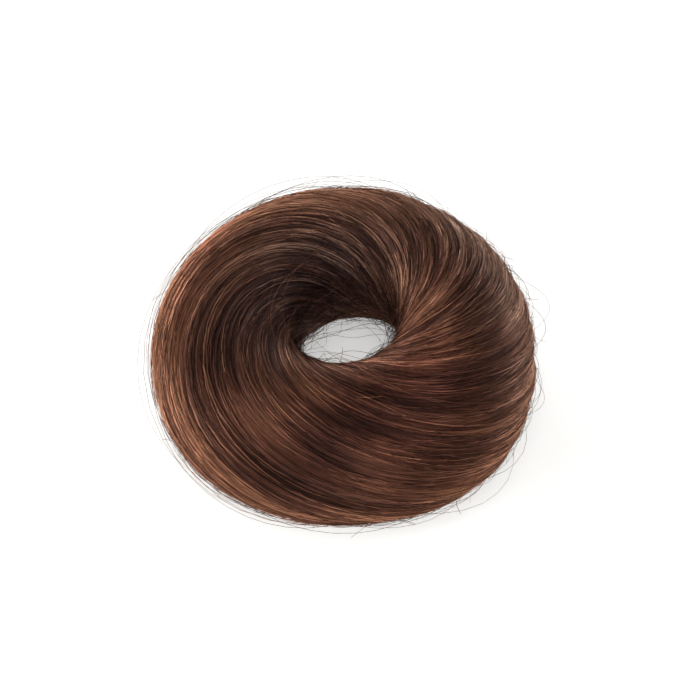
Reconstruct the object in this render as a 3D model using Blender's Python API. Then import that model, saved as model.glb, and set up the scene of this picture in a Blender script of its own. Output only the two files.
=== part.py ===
"""A top knot hairpiece: a fat ring of brown hair wound round an elastic loop.

Metres, +Z up. It lies on its pressed underside with its front towards -Y, and
the origin is on that underside, below the middle of its outline.

A point of the hair has an angle round the ring, counted from +X, and a turn
round the roll, which is 0 at the hole's waist, a quarter at the top, a half at
the outer rim and three quarters underneath. Each strand goes once round the
roll while it goes once round the ring, so that it ends where it began.
"""

from collections import namedtuple
from math import cos, hypot, pi, radians, sin, tau

import bpy
from mathutils import Vector

# The outline of the ring as it lies
RING_WIDTH = 0.110
RING_DEPTH = 0.110
RING_HEIGHT = 0.040
FOOT_PRESS = 0.0020  # what lying on it presses off the underside

# The oval hole at its waist, with its long side turned towards the back right
HOLE_LENGTH = 0.0316
HOLE_BREADTH = 0.0250
HOLE_TURN = radians(45)
HOLE_RIGHT = 0.0019
HOLE_BACK = 0.0047

# The locks, and how the strands crowd together on the hole's right
GROOVE_DEPTH = 0.0008  # at the outer rim, and less towards the hole, as the locks narrow
CREST_FULLNESS = 0.8  # under 1 gives a lock a broad back and narrow grooves
GROOVE_FADE = 0.0080  # the height over which the grooves run out into the foot
STRAND_CROWDING = 0.25

# The elastic loop in its channel, low on the hole's side
BAND_THICKNESS = 0.0040
BAND_SINK = 0.0010  # from the hair's surface in to the middle of the loop
BAND_TURN = radians(-53)
CLEARANCE = 0.0003

# How finely the surfaces are divided
COLUMNS_PER_LOCK = 8
ROLL_ROWS = 40
BAND_COLUMNS = 64
BAND_SIDES = 10

# The outline round the ring, as shares of the plain ring's reach and height
Section = namedtuple("Section", "degrees reach height")
SECTIONS = (
    Section(degrees=0, reach=1.002, height=0.990),
    Section(degrees=45, reach=1.010, height=0.985),
    Section(degrees=90, reach=1.000, height=0.990),
    Section(degrees=135, reach=1.000, height=1.000),
    Section(degrees=180, reach=0.998, height=1.000),
    Section(degrees=225, reach=1.018, height=0.990),
    Section(degrees=270, reach=1.004, height=0.985),
    Section(degrees=315, reach=1.034, height=0.980),
)

# The locks side by side: width and rise as shares, and a lean over 1 that moves
# the crest towards the next lock, as if this one lapped over it
Lock = namedtuple("Lock", "width rise lean")
LOCKS = (
    Lock(width=1.10, rise=1.00, lean=1.25),
    Lock(width=0.85, rise=0.70, lean=0.90),
    Lock(width=1.20, rise=0.95, lean=1.20),
    Lock(width=0.95, rise=0.80, lean=1.00),
    Lock(width=0.80, rise=0.60, lean=0.85),
    Lock(width=1.15, rise=1.00, lean=1.30),
    Lock(width=1.00, rise=0.75, lean=1.10),
    Lock(width=0.85, rise=0.90, lean=0.90),
    Lock(width=1.20, rise=0.85, lean=1.20),
    Lock(width=0.90, rise=0.65, lean=1.00),
    Lock(width=1.05, rise=1.00, lean=1.25),
    Lock(width=0.95, rise=0.80, lean=0.95),
)

HAIR_BROWN = (0.085, 0.034, 0.020, 1.0)
ELASTIC_BLACK = (0.012, 0.011, 0.011, 1.0)


def clear_scene():
    for thing in list(bpy.data.objects):
        bpy.data.objects.remove(thing, do_unlink=True)


def smooth_step(share):
    share = min(max(share, 0.0), 1.0)
    return share * share * (3 - 2 * share)


def round_the_ring(angle, column):
    """A column of the section table at any angle, eased from each row to the next."""
    degrees = (angle % tau) * 360 / tau
    for row, following in zip(SECTIONS, SECTIONS[1:] + SECTIONS[:1]):
        gap = (following.degrees - row.degrees) % 360
        past = (degrees - row.degrees) % 360
        if past < gap:
            break
    here, there = getattr(row, column), getattr(following, column)
    return here + (there - here) * smooth_step(past / gap)


def hole_edge(angle):
    """Where the hole's oval is, in the direction angle from its own middle."""
    half_length, half_breadth = HOLE_LENGTH / 2, HOLE_BREADTH / 2
    along, across = cos(angle - HOLE_TURN), sin(angle - HOLE_TURN)
    reach = half_length * half_breadth / hypot(half_breadth * along, half_length * across)
    return Vector((HOLE_RIGHT + reach * cos(angle), HOLE_BACK + reach * sin(angle), 0))


def outer_edge(angle):
    half_ring = Vector((RING_WIDTH * cos(angle), RING_DEPTH * sin(angle), 0)) / 2
    return half_ring * round_the_ring(angle, "reach")


def roll_middle(angle):
    """The middle of the roll, and the steps from it to the outer rim and to the top."""
    inner, outer = hole_edge(angle), outer_edge(angle)
    half_height = (RING_HEIGHT * round_the_ring(angle, "height") + FOOT_PRESS) / 2
    middle = (inner + outer) / 2
    middle.z = half_height - FOOT_PRESS
    return middle, (outer - inner) / 2, Vector((0, 0, half_height))


def plain_point(angle, turn):
    """The roll before its locks are drawn in and before lying presses it flat."""
    middle, to_rim, to_top = roll_middle(angle)
    return middle - to_rim * cos(turn) + to_top * sin(turn)


def hair_point(angle, turn, groove):
    """The plain roll drawn in by a groove, and pressed flat where it lies."""
    middle, to_rim, _ = roll_middle(angle)
    plain = plain_point(angle, turn)
    narrowing = plain.xy.length / (RING_WIDTH / 2)
    drawn_in = groove * narrowing * smooth_step(plain.z / GROOVE_FADE)
    point = plain.lerp(middle, drawn_in / to_rim.length)
    point.z = max(point.z, 0.0)
    return point


def strand_columns():
    """The columns of the hair's grid, lock by lock: each one's start and groove."""
    whole = sum(lock.width for lock in LOCKS)
    before = 0.0
    columns = []
    for lock in LOCKS:
        for step in range(COLUMNS_PER_LOCK):
            across = step / COLUMNS_PER_LOCK
            crest = sin(pi * across**lock.lean) ** CREST_FULLNESS
            start = tau * (before + across * lock.width) / whole
            columns.append((start, GROOVE_DEPTH * (1 - lock.rise * crest)))
        before += lock.width
    return columns


def strand_angle(start, turn):
    """Where a strand is round the ring when it has wound this far round the roll."""
    wound = start + turn
    return wound - STRAND_CROWDING * sin(wound)


def closed_grid(name, columns):
    """A surface closed both ways, from columns of points that run round the roll."""
    rows = len(columns[0])
    faces = []
    for column in range(len(columns)):
        beside = (column + 1) % len(columns)
        for row in range(rows):
            above = (row + 1) % rows
            # Each cell is split along the diagonal that is shorter on a wound grid
            faces.append((column * rows + row, column * rows + above, beside * rows + row))
            faces.append((beside * rows + row, column * rows + above, beside * rows + above))
    mesh = bpy.data.meshes.new(name)
    mesh.from_pydata([point for column in columns for point in column], [], faces)
    mesh.shade_smooth()
    thing = bpy.data.objects.new(name, mesh)
    bpy.context.scene.collection.objects.link(thing)
    return thing


def hair_grid():
    """The hair's surface: every column of the grid follows one strand."""
    turns = [tau * row / ROLL_ROWS for row in range(ROLL_ROWS)]
    return [
        [hair_point(strand_angle(start, turn), turn, groove) for turn in turns]
        for start, groove in strand_columns()
    ]


def loop_grid(thickness):
    """A round loop of this thickness on the elastic's route through the hair."""
    columns = []
    for column in range(BAND_COLUMNS):
        angle = tau * column / BAND_COLUMNS
        surface = plain_point(angle, BAND_TURN)
        middle, to_rim, _ = roll_middle(angle)
        centre = surface + (middle - surface).normalized() * BAND_SINK
        outward = to_rim.normalized() * (thickness / 2)
        up = Vector((0, 0, thickness / 2))
        sides = [tau * side / BAND_SIDES for side in range(BAND_SIDES)]
        columns.append([centre - outward * cos(side) + up * sin(side) for side in sides])
    return columns


def give_material(thing, name, colour, roughness):
    material = bpy.data.materials.new(name)
    material.use_nodes = True
    shader = material.node_tree.nodes["Principled BSDF"]
    shader.inputs["Base Color"].default_value = colour
    shader.inputs["Roughness"].default_value = roughness
    shader.inputs["Metallic"].default_value = 0.0
    thing.data.materials.append(material)


def make_hair_roll():
    hair_roll = closed_grid("hair_roll", hair_grid())
    give_material(hair_roll, "hair", HAIR_BROWN, 0.38)
    return hair_roll


def make_elastic_band():
    elastic_band = closed_grid("elastic_band", loop_grid(BAND_THICKNESS))
    give_material(elastic_band, "elastic", ELASTIC_BLACK, 0.80)
    return elastic_band


def cut_channel(hair_roll):
    """The channel that the elastic lies in, open towards the hole."""
    channel = closed_grid("channel_cutter", loop_grid(BAND_THICKNESS + 2 * CLEARANCE))
    channel.hide_render = True
    channel.display_type = "WIRE"
    cut = hair_roll.modifiers.new("channel", "BOOLEAN")
    cut.operation = "DIFFERENCE"
    cut.object = channel
    return channel


def stand_over_origin(hair_roll, things):
    """Moves all of it so that the middle of the hair's outline is over the origin."""
    points = [vertex.co for vertex in hair_roll.data.vertices]
    for axis in (0, 1):
        reach = [point[axis] for point in points]
        middle = (min(reach) + max(reach)) / 2
        for thing in things:
            thing.location[axis] = -middle


def main():
    clear_scene()
    hair_roll = make_hair_roll()
    elastic_band = make_elastic_band()
    channel = cut_channel(hair_roll)
    stand_over_origin(hair_roll, (hair_roll, elastic_band, channel))


main()
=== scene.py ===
from collections import namedtuple
from math import cos, pi, radians, sin, tau

import bpy
import numpy as np
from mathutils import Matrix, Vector


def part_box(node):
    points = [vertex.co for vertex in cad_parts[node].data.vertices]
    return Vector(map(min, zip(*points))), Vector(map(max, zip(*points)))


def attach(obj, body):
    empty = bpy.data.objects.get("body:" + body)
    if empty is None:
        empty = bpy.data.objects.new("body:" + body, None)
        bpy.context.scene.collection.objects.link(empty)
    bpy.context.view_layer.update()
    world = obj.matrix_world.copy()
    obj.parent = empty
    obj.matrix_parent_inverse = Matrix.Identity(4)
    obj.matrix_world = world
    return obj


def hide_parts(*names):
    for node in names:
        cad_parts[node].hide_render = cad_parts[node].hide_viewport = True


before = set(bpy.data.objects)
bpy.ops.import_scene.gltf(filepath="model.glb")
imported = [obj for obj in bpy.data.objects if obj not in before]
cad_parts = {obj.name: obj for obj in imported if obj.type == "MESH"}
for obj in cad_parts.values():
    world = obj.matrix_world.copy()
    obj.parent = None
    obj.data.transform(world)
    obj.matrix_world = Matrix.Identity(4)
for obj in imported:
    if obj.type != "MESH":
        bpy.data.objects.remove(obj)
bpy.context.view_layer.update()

# The ring, as in the CAD: metres, +Z up, front towards -Y
RING_WIDTH = 0.110
RING_DEPTH = 0.110
RING_HEIGHT = 0.040
FOOT_PRESS = 0.0020
HOLE_LENGTH = 0.0316
HOLE_BREADTH = 0.0250
HOLE_TURN = radians(45)
HOLE_RIGHT = 0.0019
HOLE_BACK = 0.0047
GROOVE_DEPTH = 0.0008
CREST_FULLNESS = 0.8
GROOVE_FADE = 0.0080
STRAND_CROWDING = 0.25
BAND_THICKNESS = 0.0040
BAND_SINK = 0.0010
BAND_TURN = radians(-53)

# Shares of the plain ring's reach and height, every 45 degrees round the ring from +X
REACH = np.array([1.002, 1.010, 1.000, 1.000, 0.998, 1.018, 1.004, 1.034])
HEIGHT = np.array([0.990, 0.985, 0.990, 1.000, 1.000, 0.990, 0.985, 0.980])

Lock = namedtuple("Lock", "width rise lean")
LOCKS = (
    Lock(width=1.10, rise=1.00, lean=1.25),
    Lock(width=0.85, rise=0.70, lean=0.90),
    Lock(width=1.20, rise=0.95, lean=1.20),
    Lock(width=0.95, rise=0.80, lean=1.00),
    Lock(width=0.80, rise=0.60, lean=0.85),
    Lock(width=1.15, rise=1.00, lean=1.30),
    Lock(width=1.00, rise=0.75, lean=1.10),
    Lock(width=0.85, rise=0.90, lean=0.90),
    Lock(width=1.20, rise=0.85, lean=1.20),
    Lock(width=0.90, rise=0.65, lean=1.00),
    Lock(width=1.05, rise=1.00, lean=1.25),
    Lock(width=0.95, rise=0.80, lean=0.95),
)

# The smooth hair under the loose strands
SEED = 7
BODY_COLUMNS = 1200
BODY_ROWS = 60
BODY_SINK = 0.00030
BROAD_RELIEF = 0.00035
TRESS_RELIEF = 0.00010
WISP_RELIEF = 0.00008
SKIN = 0.0001  # the least height of any hair over the floor

# The strands over it. Each layer is one piece: tresses of hairs that run side by side
Layer = namedtuple(
    "Layer", "name tresses hairs steps width thickness height slant loose contrast"
)
LAYERS = (
    Layer("hair_wisps", 106, 10, 20, 0.00050, 0.00014, -0.00002, 0.06, 0, 0.5),
    Layer("hair_strands_low", 82, 16, 22, 0.00014, 0.00011, 0.00000, 0.07, 0, 1.0),
    Layer("hair_strands_mid", 68, 16, 26, 0.00014, 0.00011, 0.00004, 0.08, 0.00006, 1.1),
    Layer("hair_strands_top", 126, 12, 18, 0.00014, 0.00011, 0.00008, 0.11, 0.00016, 1.2),
)
TRESS_HALF_WIDTH = (radians(0.7), radians(2.6))
HAIR_SLANT = 0.060
TRESS_BOW = 0.03
TRESS_RISE = 0.00022
END_DEPTH = 0.0006
WAVE = 0.00006
WOBBLE = 0.25  # of a tress's half width
TIP_THINNING = 0.6
HAIRS_IN_WISP = 4
EVEN_SPREAD = (0.7548777, 0.5698403)  # steps of a sequence that fills a square evenly
HAIR_SIDES = 3

# Hairs that stand off the roll
STRAY_RADIUS = 0.000064
STRAY_STEPS = 20
END_STEPS = 8
ARC_END_DEPTH = 0.0003
ROOT_DEPTH = 0.0004
HOLE_HAIR_TILT = 20
MOST_BOW = 0.008

# Stretches in degrees: the whole way round either, two round the roll, and three
# round the ring
WHOLE = (0, 360)
IN_HOLE = (-60, 35)
AT_RIM = (50, 160)
FAR_SIDE = (-35, 215)
LEFT_BEHIND = (95, 235)
BEHIND = (0, 130)

# Kinds of stray hair. They start in stretches of angles round the ring and of turns
# round the roll, with turned and span in degrees too, and length and lift in metres
LiftedHair = namedtuple("LiftedHair", "count tone steps angles turns turned lift slant")
HoleHair = namedtuple("HoleHair", "count tone angles turns span lift")
LooseEnd = namedtuple("LooseEnd", "count tone angles turns length lift slant curl")
STRAY_HAIRS = (
    LiftedHair(310, 0.30, STRAY_STEPS, WHOLE, WHOLE, (40, 110), 0.0006, 0.12),
    LiftedHair(140, 0.36, STRAY_STEPS, WHOLE, WHOLE, (80, 160), 0.0018, 0.10),
    LiftedHair(130, 0.42, STRAY_STEPS, WHOLE, AT_RIM, (80, 150), 0.0014, 0.06),
    LiftedHair(16, 0.62, STRAY_STEPS, LEFT_BEHIND, (-10, 50), (60, 110), 0.0012, 0.30),
    HoleHair(120, 0.50, FAR_SIDE, (-35, 20), (40, 110), 0.0013),
    HoleHair(34, 0.24, FAR_SIDE, (-20, 20), (90, 190), 0.0045),
    HoleHair(9, 0.66, LEFT_BEHIND, (10, 60), (80, 130), 0.0030),
)
LOOSE_ENDS = (
    LiftedHair(420, 0.42, END_STEPS, WHOLE, WHOLE, (12, 40), 0.0005, 0.30),
    LooseEnd(760, 0.42, WHOLE, WHOLE, (0.003, 0.011), 0.10, 0.14, 0.25),
    LooseEnd(330, 0.60, BEHIND, (60, 150), (0.003, 0.008), 0.12, 0.12, 0.30),
    LooseEnd(420, 0.46, FAR_SIDE, IN_HOLE, (0.002, 0.006), 0.22, 0.80, 0.60),
)

# How light the hair is: 0.5 is brown, and 0.25 more is twice as bright
USUAL_TONE = 0.51
BROAD_TONE = 0.07
# The next two paint shade: darker in the locks' grooves, and darker in the creases between wisps
# with lighter backs
GROOVE_SHADE = -0.10
WISP_CREASE_SHADE = 0.05
HAIR_TONE = 0.32

# A hair's own shade, which HAIR_TONE turns into tone: its mean and spread, how much it
# takes from its tress, and the share of the hairs that are much lighter than the rest
HAIR_SHADE = (-0.2, 0.8)
TRESS_SHADE = 0.25
LIGHT_HAIRS = 0.14
LIGHTER_BY = 1.5

# The painted rim light, in degrees round the roll: the outer side is painted lighter, where the
# light catches the hair at its edge. It starts higher up at the back
PAINTED_RIM_LIGHT = 0.56
RIM_START = 108
RIM_END = 222
RIM_EASE = 60
RIM_TILT = 36

# Lighter and darker places, in degrees round the ring and round the roll: painted light and shade,
# such as painted shade deep in the hole and painted sheen right of the hole
Patch = namedtuple("Patch", "angle turn angle_reach turn_reach amount")
LIGHT_AND_SHADE_PATCHES = (
    Patch(150, 14, 66, 38, -0.46),
    Patch(95, -14, 62, 12, 0.40),
    Patch(120, 36, 30, 12, 0.06),
    Patch(192, 82, 26, 24, -0.18),
    Patch(200, 34, 16, 14, 0.16),
    Patch(95, 54, 45, 16, -0.14),
    Patch(310, 135, 40, 30, -0.04),
    Patch(296, 100, 28, 16, -0.12),
    Patch(100, 150, 50, 20, 0.06),
    Patch(6, 35, 30, 35, 0.25),
    Patch(318, 62, 20, 25, 0.05),
    Patch(60, 125, 75, 20, 0.16),
    Patch(90, 125, 35, 16, 0.08),
    Patch(40, 150, 30, 18, 0.14),
    Patch(8, 135, 16, 20, 0.12),
    Patch(235, 110, 18, 20, 0.14),
    Patch(250, 84, 11, 14, 0.14),
    Patch(258, 46, 34, 10, 0.12),
    Patch(263, 124, 10, 18, -0.30),
    Patch(252, 156, 12, 12, -0.26),
    Patch(272, 173, 26, 11, -0.18),
    Patch(283, 122, 11, 14, 0.10),
    Patch(284, 152, 22, 12, 0.10),
    Patch(304, 84, 9, 14, 0.18),
)

# Lighter and darker locks, partly the hair's own tone and partly painted sheen and shade: the same,
# but with the strands' labels for the angles
LOCK_PATCHES = (
    Patch(8, 104, 10, 24, 0.42),
    Patch(20, 90, 9, 30, 0.12),
    Patch(26, 45, 8, 18, -0.16),
    Patch(29, 172, 9, 12, -0.18),
    Patch(37, 70, 6, 14, 0.12),
    Patch(45, 92, 8, 20, -0.36),
    Patch(46, 142, 9, 18, 0.24),
    Patch(52, 58, 8, 22, -0.12),
    Patch(63, 108, 9, 38, 0.44),
    Patch(72, 75, 7, 25, 0.24),
    Patch(77, 121, 6, 18, -0.28),
    Patch(84, 80, 7, 22, 0.38),
    Patch(86, 156, 16, 20, -0.26),
    Patch(97, 108, 9, 20, -0.16),
    Patch(110, 116, 9, 11, 0.16),
    Patch(112, 60, 9, 25, -0.12),
    Patch(112, 98, 9, 12, -0.16),
    Patch(112, 150, 8, 20, 0.12),
    Patch(113, 178, 9, 10, 0.16),
    Patch(120, 84, 6, 12, 0.16),
    Patch(126, 122, 6, 8, -0.14),
    Patch(135, 120, 8, 35, 0.10),
    Patch(140, 62, 22, 12, -0.18),
    Patch(144, 88, 7, 12, 0.14),
    Patch(146, 153, 12, 10, -0.16),
    Patch(147, 119, 6, 12, 0.18),
    Patch(155, 105, 9, 22, -0.26),
    Patch(158, 85, 6, 12, 0.18),
    Patch(160, 50, 9, 16, 0.14),
    Patch(175, 126, 6, 14, 0.16),
    Patch(182, 88, 8, 18, -0.12),
    Patch(192, 75, 7, 20, 0.12),
    Patch(195, 110, 9, 12, -0.06),
    Patch(207, 85, 9, 50, -0.14),
    Patch(217, 77, 6, 14, 0.14),
    Patch(226, 75, 11, 35, 0.15),
    Patch(238, 133, 9, 16, 0.30),
    Patch(241, 77, 7, 16, 0.16),
    Patch(272, 115, 14, 25, 0.20),
    Patch(298, 85, 9, 40, 0.18),
    Patch(319, 100, 9, 18, 0.22),
    Patch(322, 70, 10, 24, -0.14),
    Patch(350, 60, 12, 30, -0.18),
)

# Where the single hairs stand out more or less than usual: more at the back and in the hole, partly
# as painted glints where the light catches single hairs
CONTRAST_PATCHES = (
    Patch(285, 110, 70, 90, -0.55),
    Patch(100, 50, 80, 60, 0.55),
    Patch(60, 130, 70, 40, 0.40),
)

# The hair is parted at the hole's left end. The amount is a height in metres
PARTING = (Patch(202, 10, 15, 34, -0.0014),)

# How cool the brown is: 0 is reddish and 1 greyish. It is painted cooler in the hole's shade, as a
# painted grey reflection of the white around, and on the right behind, as a painted sheen, and
# redder at the front and on the left
USUAL_COOLNESS = 0.2
STRAY_COOLNESS = 0.3
COOL_SHADE_AND_SHEEN_PATCHES = (
    Patch(145, 30, 95, 58, 0.95),
    Patch(110, 10, 40, 25, 0.30),
    Patch(20, 120, 42, 36, 0.85),
    Patch(48, 134, 28, 18, 0.30),
    Patch(95, 124, 35, 14, 0.20),
    Patch(345, 160, 25, 30, 0.35),
    Patch(305, 90, 55, 50, -0.22),
    Patch(150, 128, 30, 20, -0.22),
)


def smooth_step(share):
    share = np.clip(share, 0, 1)
    return share * share * (3 - 2 * share)


def unit(vectors):
    return vectors / np.linalg.norm(vectors, axis=-1, keepdims=True)


def round_the_ring(angle, shares):
    """A share at any angle round the ring, eased from each row to the next."""
    place = (angle % tau) / tau * len(shares)
    row = np.floor(place).astype(int) % len(shares)
    here, there = shares[row], shares[(row + 1) % len(shares)]
    return here + (there - here) * smooth_step(place - np.floor(place))


def roll_middle(angle):
    """The roll's middle, its unit step outward, its half width and its half height."""
    along, across = np.cos(angle - HOLE_TURN), np.sin(angle - HOLE_TURN)
    half_length, half_breadth = HOLE_LENGTH / 2, HOLE_BREADTH / 2
    reach = half_length * half_breadth / np.hypot(half_breadth * along, half_length * across)
    inner = np.stack([HOLE_RIGHT + reach * np.cos(angle), HOLE_BACK + reach * np.sin(angle)], -1)
    outer = np.stack([RING_WIDTH * np.cos(angle), RING_DEPTH * np.sin(angle)], -1) / 2
    outer = outer * round_the_ring(angle, REACH)[..., None]
    half_width = np.linalg.norm(outer - inner, axis=-1) / 2
    half_height = (RING_HEIGHT * round_the_ring(angle, HEIGHT) + FOOT_PRESS) / 2
    outward = (outer - inner) / (2 * half_width[..., None])
    middle = np.concatenate([(inner + outer) / 2, (half_height - FOOT_PRESS)[..., None]], -1)
    return middle, outward, half_width, half_height


def plain_surface(angle, turn):
    """Points of the plain roll, and the directions out of it there."""
    middle, outward, half_width, half_height = roll_middle(angle)
    c, s = np.cos(turn), np.sin(turn)
    flat = middle[..., :2] - outward * (half_width * c)[..., None]
    point = np.concatenate([flat, (middle[..., 2] + half_height * s)[..., None]], -1)
    out_flat = -outward * (c / half_width)[..., None]
    out = np.concatenate([out_flat, (s / half_height)[..., None]], -1)
    return point, unit(out)


def strand_angle(label, turn):
    """Where a strand is round the ring when it has wound this far round the roll."""
    wound = label + turn
    return wound - STRAND_CROWDING * np.sin(wound)


def lock_groove(label):
    """How far the locks' grooves draw the surface in, for strand labels in radians."""
    widths = np.array([lock.width for lock in LOCKS])
    ends = np.cumsum(widths) / widths.sum()
    starts = ends - widths / widths.sum()
    share = (label % tau) / tau
    which = np.minimum(np.searchsorted(ends, share, side="right"), len(LOCKS) - 1)
    across = np.clip((share - starts[which]) / (ends[which] - starts[which]), 0, 1)
    lean = np.array([lock.lean for lock in LOCKS])[which]
    rise = np.array([lock.rise for lock in LOCKS])[which]
    crest = np.maximum(np.sin(pi * across**lean), 0) ** CREST_FULLNESS
    return GROOVE_DEPTH * (1 - rise * crest)


def sample(table, label, turn):
    """Smooth noise from a table, closed both round the labels and round the roll."""
    u = (label / tau) % 1 * table.shape[0]
    v = (turn / tau) % 1 * table.shape[1]
    i, j = np.floor(u).astype(int), np.floor(v).astype(int)
    x, y = smooth_step(u - i), smooth_step(v - j)
    i0, j0 = i % table.shape[0], j % table.shape[1]
    i1, j1 = (i0 + 1) % table.shape[0], (j0 + 1) % table.shape[1]
    low = table[i0, j0] * (1 - x) + table[i1, j0] * x
    high = table[i0, j1] * (1 - x) + table[i1, j1] * x
    return low * (1 - y) + high * y


def patches_at(patches, degrees, turn_degrees):
    """What soft-edged patches add up to at a place."""
    total = np.zeros(np.broadcast(degrees, turn_degrees).shape)
    for patch in patches:
        round_ring = (degrees - patch.angle + 180) % 360 - 180
        round_roll = (turn_degrees - patch.turn + 180) % 360 - 180
        far = (round_ring / patch.angle_reach) ** 2 + (round_roll / patch.turn_reach) ** 2
        total += patch.amount * np.exp(-far)
    return total


noise_rng = np.random.default_rng(SEED)
TRESS_NOISE = noise_rng.uniform(-1, 1, (130, 7))
WISP_NOISE = noise_rng.uniform(-1, 1, (420, 11))
BROAD_NOISE = noise_rng.uniform(-1, 1, (22, 7))
TONE_NOISE = noise_rng.uniform(-1, 1, (34, 8))


def relief(label, turn, plain):
    """Height of the hair over the plain roll: locks, tresses and wisps.

    Where its noise changes sign, a tress has a narrow crease beside a round back.
    """
    narrowing = np.hypot(plain[..., 0], plain[..., 1]) / (RING_WIDTH / 2)
    fade = narrowing * smooth_step(plain[..., 2] / GROOVE_FADE)
    tress = np.sqrt(np.abs(sample(TRESS_NOISE, label, turn))) - 0.7
    wisp = np.sqrt(np.abs(sample(WISP_NOISE, label, turn))) - 0.7
    broad = BROAD_RELIEF * sample(BROAD_NOISE, label, turn)
    height = fade * (broad + TRESS_RELIEF * tress + WISP_RELIEF * wisp - lock_groove(label))
    return height + patches_at(PARTING, np.degrees(strand_angle(label, turn)), np.degrees(turn))


def band_route(angle):
    """The middle of the elastic loop, before the ring is stood over the origin."""
    point, _ = plain_surface(angle, np.full(angle.shape, BAND_TURN))
    middle, outward, _, _ = roll_middle(angle)
    return point + unit(middle - point) * BAND_SINK, outward


def standing_shift():
    """The CAD stands its ring over the origin: the step that does the same here."""
    low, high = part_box("elastic_band")
    route, _ = band_route(np.linspace(0, tau, 720, endpoint=False))
    shift = (np.array(low) + np.array(high)) / 2 - (route.min(0) + route.max(0)) / 2
    shift[2] = 0
    return shift


SHIFT = standing_shift()


def lay(label, turn, height):
    """Points at a height over the hair's relief, and the directions out of it there."""
    plain, out = plain_surface(strand_angle(label, turn), turn)
    return plain + out * (relief(label, turn, plain) + height)[..., None] + SHIFT, out


def tone_and_painted_light(label, turn):
    """How light the hair is at a place: its own tone, with painted light at the rim, painted shade
    in the hole and the grooves, and painted sheen in places.
    """
    turn_degrees = np.degrees(turn) % 360
    angle = strand_angle(label, turn)
    angle_degrees = np.degrees(angle) % 360
    # Painted rim light: the hair is painted lighter round the roll's outer side
    rim_start = RIM_START - RIM_TILT * np.sin(angle)
    begun, left = turn_degrees - rim_start, RIM_END - turn_degrees
    rim = smooth_step(begun / RIM_EASE) * smooth_step(left / RIM_EASE)
    tone = USUAL_TONE + PAINTED_RIM_LIGHT * rim + BROAD_TONE * sample(TONE_NOISE, label, turn)
    # Painted shade in the locks' grooves
    tone = tone + GROOVE_SHADE * lock_groove(label) / GROOVE_DEPTH
    # Painted shade in the creases between wisps, and painted light on their round backs
    tone = tone + WISP_CREASE_SHADE * (np.sqrt(np.abs(sample(WISP_NOISE, label, turn))) - 0.7)
    # Painted light and shade at places
    tone = tone + patches_at(LIGHT_AND_SHADE_PATCHES, angle_degrees, turn_degrees)
    # Lighter and darker locks: partly painted sheen and shade
    return tone + patches_at(LOCK_PATCHES, np.degrees(label), turn_degrees)


def place_coolness(label, turn):
    """How cool the hair's brown is at a place, with painted grey reflections in the hole's shade and
    painted sheen on the right behind.
    """
    angle_degrees, turn_degrees = np.degrees(strand_angle(label, turn)), np.degrees(turn)
    return USUAL_COOLNESS + patches_at(COOL_SHADE_AND_SHEEN_PATCHES, angle_degrees, turn_degrees)


def give_look(thing, tone, coolness):
    """Puts how light and how cool a piece's colour is at each point, for its material."""
    for name, values in (("tone", tone), ("coolness", coolness)):
        attribute = thing.data.attributes.new(name, "FLOAT", "POINT")
        attribute.data.foreach_set("value", values.astype(np.float32).ravel())


def new_mesh(name, points, faces, uvs):
    """An object from arrays: faces[k] and uvs[k] hold faces with as many corners each."""
    mesh = bpy.data.meshes.new(name)
    corners = np.concatenate([face.ravel() for face in faces]).astype(np.int32)
    total = np.concatenate([np.full(len(face), face.shape[1]) for face in faces]).astype(np.int32)
    start = np.concatenate([[0], np.cumsum(total)[:-1]]).astype(np.int32)
    places = np.concatenate([uv.reshape(-1, 2) for uv in uvs]).astype(np.float32)
    mesh.vertices.add(len(points))
    mesh.vertices.foreach_set("co", points.astype(np.float32).ravel())
    mesh.loops.add(len(corners))
    mesh.loops.foreach_set("vertex_index", corners)
    mesh.polygons.add(len(total))
    mesh.polygons.foreach_set("loop_start", start)
    mesh.polygons.foreach_set("loop_total", total)
    layer = mesh.uv_layers.new(name="OFBake")
    layer.data.foreach_set("uv", places.ravel())
    mesh.update(calc_edges=True)
    mesh.validate()
    mesh.shade_smooth()
    thing = bpy.data.objects.new(name, mesh)
    bpy.context.scene.collection.objects.link(thing)
    return thing


def closed_grid(name, points):
    """A surface closed both ways, from points[column, row]. U runs along the rows."""
    columns, rows = points.shape[:2]
    i, j = np.meshgrid(np.arange(columns), np.arange(rows), indexing="ij")
    right, up = (i + 1) % columns, (j + 1) % rows
    quads = np.stack([right * rows + j, i * rows + j, i * rows + up, right * rows + up], -1)
    v0, v1 = i / columns, (i + 1) / columns
    u0, u1 = j / rows, (j + 1) / rows
    corners = [(u0, v1), (u0, v0), (u1, v0), (u1, v1)]
    uv = np.stack([np.stack(corner, -1) for corner in corners], 2)
    return new_mesh(name, points.reshape(-1, 3), [quads.reshape(-1, 4)], [uv.reshape(-1, 4, 2)])


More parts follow.
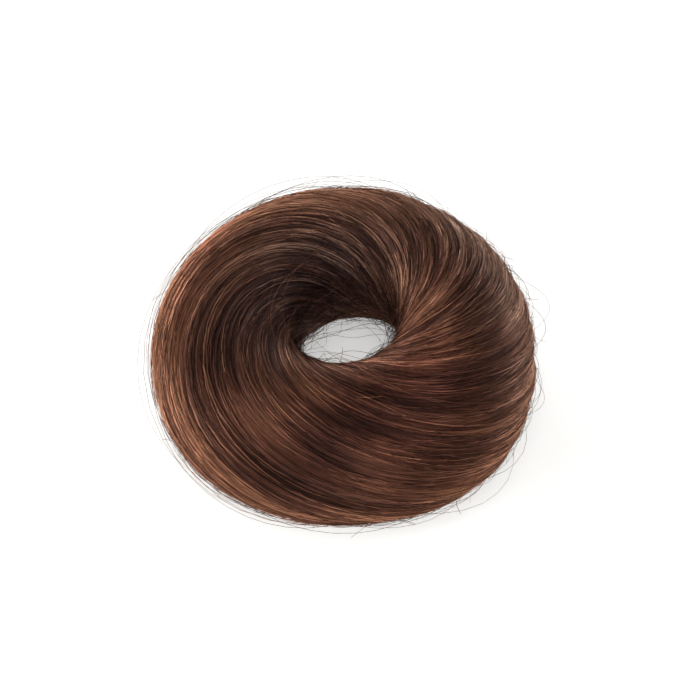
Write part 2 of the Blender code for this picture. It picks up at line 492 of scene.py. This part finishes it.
def tubes(name, centre, out, half_width, half_height, shade):
    """Closed three-sided tubes round centre[hair, step], as one mesh. U runs along each hair.

    V is the hair's rank by shade, from dark to light, and a little across the hair.
    """
    sides = HAIR_SIDES
    count, points = centre.shape[:2]
    along = unit(np.gradient(centre, axis=1))
    side = unit(np.cross(along, out))
    up = np.cross(side, along)
    spokes = [pi / 2 + tau * m / sides for m in range(sides)]
    rings = [
        centre + side * (half_width * cos(phi))[..., None] + up * (half_height * sin(phi))[..., None]
        for phi in spokes
    ]
    verts = np.stack(rings, 2)
    s, k, m = np.meshgrid(np.arange(count), np.arange(points - 1), np.arange(sides), indexing="ij")
    base = (s * points + k) * sides
    following = (m + 1) % sides
    quads = np.stack([base + m, base + following, base + sides + following, base + sides + m], -1)
    rank = np.argsort(np.argsort(shade))
    v0 = (rank[:, None, None] + 0.1 + 0.8 * m / sides) / count
    v1 = (rank[:, None, None] + 0.1 + 0.8 * (m + 1) / sides) / count
    u0, u1 = k / (points - 1), (k + 1) / (points - 1)
    quad_uv = np.stack([np.stack(c, -1) for c in ((u0, v0), (u0, v1), (u1, v1), (u1, v0))], 3)
    first = np.arange(count) * points * sides
    last = first + (points - 1) * sides
    turns = np.arange(sides)
    caps = np.concatenate([first[:, None] + turns[::-1], last[:, None] + turns])
    cap_u = np.repeat([0.0, 1.0], count)[:, None] * np.ones(sides)
    cap_v = np.tile((rank + 0.5) / count, 2)[:, None] * np.ones(sides)
    faces = [quads.reshape(-1, 4), caps]
    return new_mesh(name, verts.reshape(-1, 3), faces, [quad_uv, np.stack([cap_u, cap_v], -1)])


def round_hairs(values):
    """Values for each step of each hair, given to every corner of its tube there."""
    return np.repeat(values[..., None], HAIR_SIDES, 2)


def make_body():
    """The roll itself. Its rows start underneath, where a seam in the finish is hidden."""
    label = np.linspace(0, tau, BODY_COLUMNS, endpoint=False)[:, None]
    turn = np.linspace(-pi / 2, 3 * pi / 2, BODY_ROWS, endpoint=False)[None, :]
    label, turn = np.broadcast_arrays(label, turn)
    points, _ = lay(label, turn, np.full(label.shape, -BODY_SINK))
    points[..., 2] = np.maximum(points[..., 2], 4 * SKIN)
    body = closed_grid("hair_body", points)
    give_look(body, tone_and_painted_light(label, turn), place_coolness(label, turn))
    return body


def hairs_in_tresses(layer, rng):
    """Every hair's labels, turns and heights along it, its ends, and its tress's shade."""
    count = layer.tresses * layer.hairs
    tress = np.repeat(np.arange(layer.tresses), layer.hairs)
    spread = np.arange(layer.tresses)[:, None] * EVEN_SPREAD
    place = (spread + rng.uniform(0, 1, (1, 2))) % 1 * tau
    half_width = rng.uniform(*TRESS_HALF_WIDTH, layer.tresses)[tress][:, None]
    slant = rng.normal(0, layer.slant, layer.tresses)[tress][:, None]
    slant = slant + rng.normal(0, HAIR_SLANT, count)[:, None]
    bow = rng.normal(0, TRESS_BOW, layer.tresses)[tress][:, None]
    rise = rng.uniform(0, TRESS_RISE, layer.tresses)[tress][:, None]
    tress_shade = rng.normal(0, 1, layer.tresses)[tress]

    # Every hair's points are on the body's own rows, so that it keeps its height over them
    row = tau / BODY_ROWS
    start = np.round(place[tress, 1] / row + rng.normal(0, 1.5, count))[:, None]
    step = np.arange(layer.steps + 1)[None, :]
    turn = (start + step) * row
    t = step / layer.steps
    across = rng.uniform(-1, 1, count)[:, None]
    phase = rng.uniform(0, tau, count)[:, None] + t * rng.uniform(2, 7, count)[:, None]
    wobble = WOBBLE * np.sin(phase)
    label = place[tress, 0][:, None] + slant * (t - 0.5) * layer.steps * row
    label = label + bow * (1 - (2 * t - 1) ** 2) + half_width * (across + wobble)

    ends = 1 - smooth_step(t / 0.2) + smooth_step((t - 0.8) / 0.2)
    height = layer.height + rise * (1 - across**2) + rng.uniform(-0.00006, 0.00006, count)[:, None]
    phase = rng.uniform(0, tau, count)[:, None] + t * rng.uniform(8, 26, count)[:, None]
    loose = rng.exponential(layer.loose, count).clip(0, 5 * layer.loose)[:, None]
    height = height + WAVE * np.sin(phase) + loose * np.sin(pi * t)
    return label, turn, height - END_DEPTH * ends, ends, tress_shade


def make_layer(layer, seed):
    """Tresses that lie over the body, and dip under it at their ends."""
    rng = np.random.default_rng(seed)
    label, turn, height, ends, tress_shade = hairs_in_tresses(layer, rng)
    count = len(label)
    centre, out = lay(label, turn, height)
    lighter = LIGHTER_BY * (rng.uniform(0, 1, count) < LIGHT_HAIRS)
    shade = TRESS_SHADE * tress_shade + rng.normal(*HAIR_SHADE, count) + lighter
    shade = layer.contrast * shade
    size = rng.uniform(0.7, 1.2, count) + 0.15 * shade.clip(-2, 3)
    size = size[:, None] * (1 - TIP_THINNING * ends)
    half_height = size * layer.thickness / 2
    centre[..., 2] = np.maximum(centre[..., 2], half_height + SKIN)
    piece = tubes(layer.name, centre, out, size * layer.width / 2, half_height, shade)
    angle_degrees, turn_degrees = np.degrees(strand_angle(label, turn)), np.degrees(turn)
    # The lighter hairs stand out more at the back and in the hole, partly as painted glints
    stand_out = HAIR_TONE * (1 + patches_at(CONTRAST_PATCHES, angle_degrees, turn_degrees))
    tone = tone_and_painted_light(label, turn) + stand_out * shade.clip(-2, 3)[:, None]
    give_look(piece, round_hairs(tone), round_hairs(place_coolness(label, turn)))
    return piece


def lifted_hairs(rng, kind):
    """Hairs that leave the roll in an arc and come back to it."""
    t = np.linspace(0, 1, kind.steps + 1)[None, :]
    turned = rng.uniform(*np.radians(kind.turned), kind.count)[:, None]
    start = rng.uniform(*np.radians(kind.turns), kind.count)[:, None]
    turn = start + t * turned
    label = rng.uniform(*np.radians(kind.angles), kind.count)[:, None] - start
    label = label + rng.normal(0, kind.slant, kind.count)[:, None] * (t - 0.5) * turned
    skew = rng.uniform(0.6, 1.7, kind.count)[:, None]
    arc = np.sin(pi * t**skew)
    lift = rng.exponential(kind.lift, kind.count)[:, None].clip(0, 4 * kind.lift)
    return lay(label, turn, lift * arc - ARC_END_DEPTH * (1 - arc))


def hole_hairs(rng, kind):
    """Hairs that run round the hole's side and bow out from it, some right across the hole."""
    t = np.linspace(0, 1, STRAY_STEPS + 1)[None, :]
    first, last = np.radians(kind.angles)
    span = np.radians(rng.uniform(*kind.span, kind.count))[:, None]
    angle = first + rng.uniform(0, 1, kind.count)[:, None] * (last - first - span) + span * t
    tilt = rng.normal(0, HOLE_HAIR_TILT, kind.count)[:, None]
    turn = np.radians(rng.uniform(*kind.turns, kind.count)[:, None] + tilt * t)
    lift = rng.exponential(kind.lift, kind.count).clip(0, MOST_BOW)[:, None]
    arc = np.sin(pi * t ** rng.uniform(0.7, 1.4, kind.count)[:, None]) ** 0.8
    plain, out = plain_surface(angle, turn)
    return plain + out * (lift * arc - ROOT_DEPTH)[..., None] + SHIFT, out


def loose_ends(rng, kind):
    """Hairs that leave the roll and end in the air."""
    t = np.linspace(0, 1, END_STEPS + 1)[None, :, None]
    turn = rng.uniform(*np.radians(kind.turns), kind.count)
    label = rng.uniform(*np.radians(kind.angles), kind.count) - turn
    depth = np.full(kind.count, -ROOT_DEPTH)
    root, out = lay(label, turn, depth)
    ahead, _ = lay(label, turn + 0.02, depth)
    along = unit(ahead - root) * rng.choice([-1, 1], kind.count)[:, None]
    side = np.cross(out, along)
    one_each = (kind.count, 1)
    heading = along + out * rng.exponential(kind.lift, one_each)
    heading = unit(heading + side * rng.normal(0, kind.slant, one_each))
    turning = side * rng.normal(0, kind.curl, one_each)
    turning = turning + out * rng.normal(0, kind.curl / 2, one_each)
    length = rng.uniform(*kind.length, kind.count)[:, None, None]
    centre = root[:, None] + length * (heading[:, None] * t + turning[:, None] * t**2)
    return centre, np.broadcast_to(out[:, None], centre.shape)


LAID_BY = {LiftedHair: lifted_hairs, HoleHair: hole_hairs, LooseEnd: loose_ends}


def make_strays(name, seed, kinds):
    """Stray hairs of several kinds, as one piece."""
    rng = np.random.default_rng(seed)
    laid = [LAID_BY[type(kind)](rng, kind) for kind in kinds]
    centre, out = [np.concatenate(column) for column in zip(*laid)]
    tone = np.concatenate([np.full(kind.count, kind.tone) for kind in kinds])
    count, steps = centre.shape[:2]
    radius = STRAY_RADIUS * rng.uniform(0.75, 1.15, count)[:, None] * np.ones(steps)
    centre[..., 2] = np.maximum(centre[..., 2], radius + SKIN)
    shade = rng.normal(0, 0.6, count)
    piece = tubes(name, centre, out, radius, radius, shade)
    tone = (tone + HAIR_TONE * shade.clip(-2, 2))[:, None] * np.ones(steps)
    give_look(piece, round_hairs(tone), round_hairs(np.full(tone.shape, STRAY_COOLNESS)))
    return piece


def make_elastic():
    """The elastic, with the lengthwise ribs of its woven cover."""
    columns, sides, ribs, rib_depth = 120, 24, 6, 0.04
    angle = np.linspace(0, tau, columns, endpoint=False)[:, None]
    phi = np.linspace(0, tau, sides, endpoint=False)[None, :]
    angle, phi = np.broadcast_arrays(angle, phi)
    route, outward = band_route(angle)
    rib = np.abs(np.cos(phi * ribs / 2))
    radius = BAND_THICKNESS / 2 * (1 - rib_depth + rib_depth * rib)
    level = np.zeros(outward.shape[:-1] + (1,))
    outward = np.concatenate([outward, level], -1)
    points = route - outward * (radius * np.cos(phi))[..., None] + SHIFT
    points[..., 2] += radius * np.sin(phi)
    return closed_grid("elastic_loop", points)


def principled(name, roughness, specular, tint):
    material = bpy.data.materials.new(name)
    material.use_nodes = True
    shader = material.node_tree.nodes["Principled BSDF"]
    shader.inputs["Roughness"].default_value = roughness
    shader.inputs["Specular IOR Level"].default_value = specular
    shader.inputs["Specular Tint"].default_value = tint
    return material, shader


def ramp_node(tree, stops):
    ramp = tree.nodes.new("ShaderNodeValToRGB")
    elements = ramp.color_ramp.elements
    while len(elements) < len(stops):
        elements.new(0.5)
    for element, (place, colour) in zip(elements, stops):
        element.position = place
        element.color = (*colour, 1)
    return ramp


def hair_map(tree):
    uv = tree.nodes.new("ShaderNodeUVMap")
    uv.uv_map = "OFBake"
    return uv.outputs["UV"]


def streaks(tree, along, across, detail):
    """Noise drawn out along the hair."""
    stretch = tree.nodes.new("ShaderNodeMapping")
    stretch.inputs["Scale"].default_value = (along, across, 1)
    noise = tree.nodes.new("ShaderNodeTexNoise")
    noise.inputs["Scale"].default_value = 1.0
    noise.inputs["Detail"].default_value = detail
    tree.links.new(hair_map(tree), stretch.inputs["Vector"])
    tree.links.new(stretch.outputs["Vector"], noise.inputs["Vector"])
    return noise.outputs["Fac"]


def comb(tree, shader, height, distance):
    """Fine ridges along the hair, and a shine that spreads across it."""
    bump = tree.nodes.new("ShaderNodeBump")
    bump.inputs["Strength"].default_value = 1.0
    bump.inputs["Distance"].default_value = distance
    tree.links.new(height, bump.inputs["Height"])
    tree.links.new(bump.outputs["Normal"], shader.inputs["Normal"])
    tangent = tree.nodes.new("ShaderNodeTangent")
    tangent.direction_type = "UV_MAP"
    tangent.uv_map = "OFBake"
    tree.links.new(tangent.outputs["Tangent"], shader.inputs["Tangent"])
    shader.inputs["Anisotropic"].default_value = 0.7
    shader.inputs["Anisotropic Rotation"].default_value = 0.25


def multiply(tree, colour, factor):
    mix = tree.nodes.new("ShaderNodeMix")
    mix.data_type = "RGBA"
    mix.blend_type = "MULTIPLY"
    mix.inputs["Factor"].default_value = 1.0
    tree.links.new(colour, mix.inputs["A"])
    tree.links.new(factor, mix.inputs["B"])
    return mix.outputs["Result"]


# The hair's shine, and its colours by tone, which the coolness tints
HAIR_TINT = (1.0, 0.70, 0.56, 1)
HAIR_SPECULAR = 0.25
HAIR_METALLIC = 0.50  # hair's shine takes the hair's colour, as a metal's does
HAIR_TONES = [
    (0.00, (0.019, 0.0088, 0.0072)),
    (0.25, (0.046, 0.0184, 0.0136)),
    (0.50, (0.098, 0.0378, 0.0250)),
    (0.75, (0.210, 0.0880, 0.0510)),
    (1.00, (0.400, 0.1840, 0.1040)),
]
COOL_TINT = [
    (0.0, (1.04, 0.91, 0.98)),
    (0.2, (1.0, 1.0, 1.0)),
    (1.0, (0.83, 1.11, 1.46)),
]
# What the noise along the hairs makes of these colours, in darker and lighter stretches. On single
# strands the stretches are partly painted highlights, broken into dashes
HAIR_STREAKS = [(0.38, (0.20, 0.20, 0.20)), (0.62, (1.9, 1.9, 1.9))]
HIGHLIGHT_DASHES = [(0.35, (0.45, 0.43, 0.41)), (0.65, (1.7, 1.7, 1.7))]


def hair_shader(name, roughness):
    """A hair material, with the colour that its piece's tone and coolness give."""
    material, shader = principled(name, roughness, HAIR_SPECULAR, HAIR_TINT)
    shader.inputs["Metallic"].default_value = HAIR_METALLIC
    tree = material.node_tree
    ramps = []
    for look, stops in (("tone", HAIR_TONES), ("coolness", COOL_TINT)):
        attribute = tree.nodes.new("ShaderNodeAttribute")
        attribute.attribute_name = look
        ramp = ramp_node(tree, stops)
        tree.links.new(attribute.outputs["Fac"], ramp.inputs["Fac"])
        ramps.append(ramp.outputs["Color"])
    return material, shader, multiply(tree, *ramps)


def strand_material(hairs):
    """Single hairs, each with lighter and darker stretches, partly painted highlights in dashes."""
    material, shader, colour = hair_shader("hair strands", 0.36)
    tree = material.node_tree
    dashes = ramp_node(tree, HIGHLIGHT_DASHES)
    tree.links.new(streaks(tree, along=9, across=hairs, detail=1), dashes.inputs["Fac"])
    tree.links.new(multiply(tree, colour, dashes.outputs["Color"]), shader.inputs["Base Color"])
    return material


def combed_material(name, roughness, along, hairs, ridge):
    """Hair with the single hairs in it drawn on: a colour and a ridge for each."""
    material, shader, colour = hair_shader(name, roughness)
    tree = material.node_tree
    noise = streaks(tree, along, hairs, 2)
    fine = ramp_node(tree, HAIR_STREAKS)
    tree.links.new(noise, fine.inputs["Fac"])
    tree.links.new(multiply(tree, colour, fine.outputs["Color"]), shader.inputs["Base Color"])
    comb(tree, shader, noise, ridge)
    return material


def elastic_material():
    material, shader = principled("elastic cover", 0.8, 0.3, (1, 1, 1, 1))
    tree = material.node_tree
    weave = tree.nodes.new("ShaderNodeTexWave")
    weave.bands_direction = "DIAGONAL"
    weave.inputs["Scale"].default_value = 1.0
    stretch = tree.nodes.new("ShaderNodeMapping")
    stretch.inputs["Scale"].default_value = (6, 60, 1)
    ramp = ramp_node(tree, [(0.2, (0.006, 0.006, 0.006)), (0.8, (0.022, 0.020, 0.020))])
    bump = tree.nodes.new("ShaderNodeBump")
    bump.inputs["Distance"].default_value = 0.0001
    tree.links.new(hair_map(tree), stretch.inputs["Vector"])
    tree.links.new(stretch.outputs["Vector"], weave.inputs["Vector"])
    tree.links.new(weave.outputs["Fac"], ramp.inputs["Fac"])
    tree.links.new(weave.outputs["Fac"], bump.inputs["Height"])
    tree.links.new(ramp.outputs["Color"], shader.inputs["Base Color"])
    tree.links.new(bump.outputs["Normal"], shader.inputs["Normal"])
    return material


def put_on(piece, material):
    piece.data.materials.append(material)
    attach(piece, "root")


def make_hair():
    body = make_body()
    combed = combed_material("hair underneath", 0.42, along=20, hairs=1900, ridge=0.00008)
    put_on(body, combed)
    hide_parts("hair_roll")
    strands = strand_material(hairs=1400)
    for number, layer in enumerate(LAYERS):
        piece = make_layer(layer, SEED + number + 1)
        material = strands
        if layer.name == "hair_wisps":
            drawn = HAIRS_IN_WISP * layer.tresses * layer.hairs
            material = combed_material("hair wisps", 0.40, along=10, hairs=drawn, ridge=0.00006)
        put_on(piece, material)
    put_on(make_strays("stray_hairs", SEED + 50, STRAY_HAIRS), strands)
    put_on(make_strays("loose_ends", SEED + 51, LOOSE_ENDS), strands)


# The pale floor that it lies on: flat in the middle, and rising into a wall all round
FLOOR_RADIUS = 1.3
WALL_BEND = 1.1
FLOOR_COLOUR = (0.64, 0.64, 0.63, 1)
GLOW_COLOUR = (1, 1, 0.985, 1)
FLOOR_GLOW = 0.51
# Less glow in the ring's hole: a painted shadow
HOLE_SHADOW_GLOW = 0.46
WALL_GLOW = 0.80


def eased(tree, reach, start, end, low, high):
    """A value that goes smoothly from low to high as the reach goes from start to end."""
    ease = tree.nodes.new("ShaderNodeMapRange")
    ease.interpolation_type = "SMOOTHSTEP"
    for name, value in zip(("From Min", "From Max", "To Min", "To Max"), (start, end, low, high)):
        ease.inputs[name].default_value = value
    tree.links.new(reach, ease.inputs["Value"])
    return ease.outputs["Result"]


def glow_outward(tree, shader):
    """The floor's own light: less in the ring's hole, as a painted shadow there, and more towards
    the wall.
    """
    place = tree.nodes.new("ShaderNodeTexCoord")
    reach = tree.nodes.new("ShaderNodeVectorMath")
    reach.operation = "LENGTH"
    glow = tree.nodes.new("ShaderNodeMath")
    glow.operation = "ADD"
    tree.links.new(place.outputs["Object"], reach.inputs[0])
    reached = reach.outputs["Value"]
    near = eased(tree, reached, HOLE_BREADTH / 2, RING_WIDTH / 2, HOLE_SHADOW_GLOW, FLOOR_GLOW)
    edge = FLOOR_RADIUS + WALL_BEND
    far = eased(tree, reached, FLOOR_RADIUS / 2, edge, 0, WALL_GLOW - FLOOR_GLOW)
    tree.links.new(near, glow.inputs[0])
    tree.links.new(far, glow.inputs[1])
    tree.links.new(glow.outputs["Value"], shader.inputs["Emission Strength"])


def make_floor():
    """A round floor that bends up into a wall, lit from below like a light table."""
    spokes, bends = 96, 16
    profile = [(FLOOR_RADIUS / 2, 0.0)]
    for bend in np.linspace(0, pi / 2, bends + 1):
        profile.append((FLOOR_RADIUS + WALL_BEND * sin(bend), WALL_BEND * (1 - cos(bend))))
    directions = [(cos(tau * k / spokes), sin(tau * k / spokes)) for k in range(spokes)]
    verts = [(reach * x, reach * y, level) for reach, level in profile for x, y in directions]
    verts.append((0.0, 0.0, 0.0))
    faces = [(len(verts) - 1, k, (k + 1) % spokes) for k in range(spokes)]
    for ring in range(len(profile) - 1):
        low, high = ring * spokes, (ring + 1) * spokes
        for k in range(spokes):
            beside = (k + 1) % spokes
            faces.append((low + k, high + k, high + beside, low + beside))
    mesh = bpy.data.meshes.new("floor")
    mesh.from_pydata(verts, [], faces)
    mesh.shade_smooth()
    floor = bpy.data.objects.new("floor", mesh)
    bpy.context.scene.collection.objects.link(floor)
    material, shader = principled("pale floor", 0.9, 0.1, (1, 1, 1, 1))
    shader.inputs["Base Color"].default_value = FLOOR_COLOUR
    shader.inputs["Emission Color"].default_value = GLOW_COLOUR
    glow_outward(material.node_tree, shader)
    floor.data.materials.append(material)


# The camera stands in front and looks down at the ring
CAMERA_ELEVATION = radians(53.54)
CAMERA_DISTANCE = 0.400
CAMERA_LENS = 71.1
CAMERA_TARGET = Vector((0.0015, 0, 0.019))


def make_camera():
    data = bpy.data.cameras.new("camera")
    data.lens = CAMERA_LENS
    data.clip_start = 0.01
    camera = bpy.data.objects.new("camera", data)
    back = Vector((0, -cos(CAMERA_ELEVATION), sin(CAMERA_ELEVATION)))
    camera.location = CAMERA_TARGET + back * CAMERA_DISTANCE
    camera.rotation_euler = (-back).to_track_quat("-Z", "Y").to_euler()
    bpy.context.scene.collection.objects.link(camera)
    bpy.context.scene.camera = camera


# Soft round lights a metre away. Azimuth 0 is the front, 90 the right; power in watts
Light = namedtuple("Light", "name azimuth elevation power")
LIGHTS = (
    Light("left front", -67, 22, 5.4),
    Light("left low", -92, 6, 5.4),
    Light("left behind", -135, 6, 6.2),
    Light("behind", -157, 22, 3.2),
    Light("right front", 25, 42, 3.6),
    Light("right low", 115, 6, 3.8),
    Light("overhead", 0, 78, 2.6),
)
LIGHT_SIZE = 0.55
WORLD_STRENGTH = 0.05


def make_light(light):
    data = bpy.data.lights.new(light.name, "AREA")
    data.shape = "DISK"
    data.size = LIGHT_SIZE
    data.energy = light.power
    lamp = bpy.data.objects.new(light.name, data)
    a, e = radians(light.azimuth), radians(light.elevation)
    back = Vector((sin(a) * cos(e), -cos(a) * cos(e), sin(e)))
    lamp.location = back
    lamp.rotation_euler = (-back).to_track_quat("-Z", "Y").to_euler()
    lamp.visible_camera = False
    bpy.context.scene.collection.objects.link(lamp)


def make_lights():
    world = bpy.data.worlds.new("studio")
    bpy.context.scene.world = world
    world.use_nodes = True
    background = world.node_tree.nodes["Background"]
    background.inputs["Color"].default_value = (1, 1, 1, 1)
    background.inputs["Strength"].default_value = WORLD_STRENGTH
    for light in LIGHTS:
        make_light(light)
    bpy.context.scene.view_settings.view_transform = "Standard"


make_camera()
make_hair()
elastic = make_elastic()
put_on(elastic, elastic_material())
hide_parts("elastic_band")
make_floor()
make_lights()
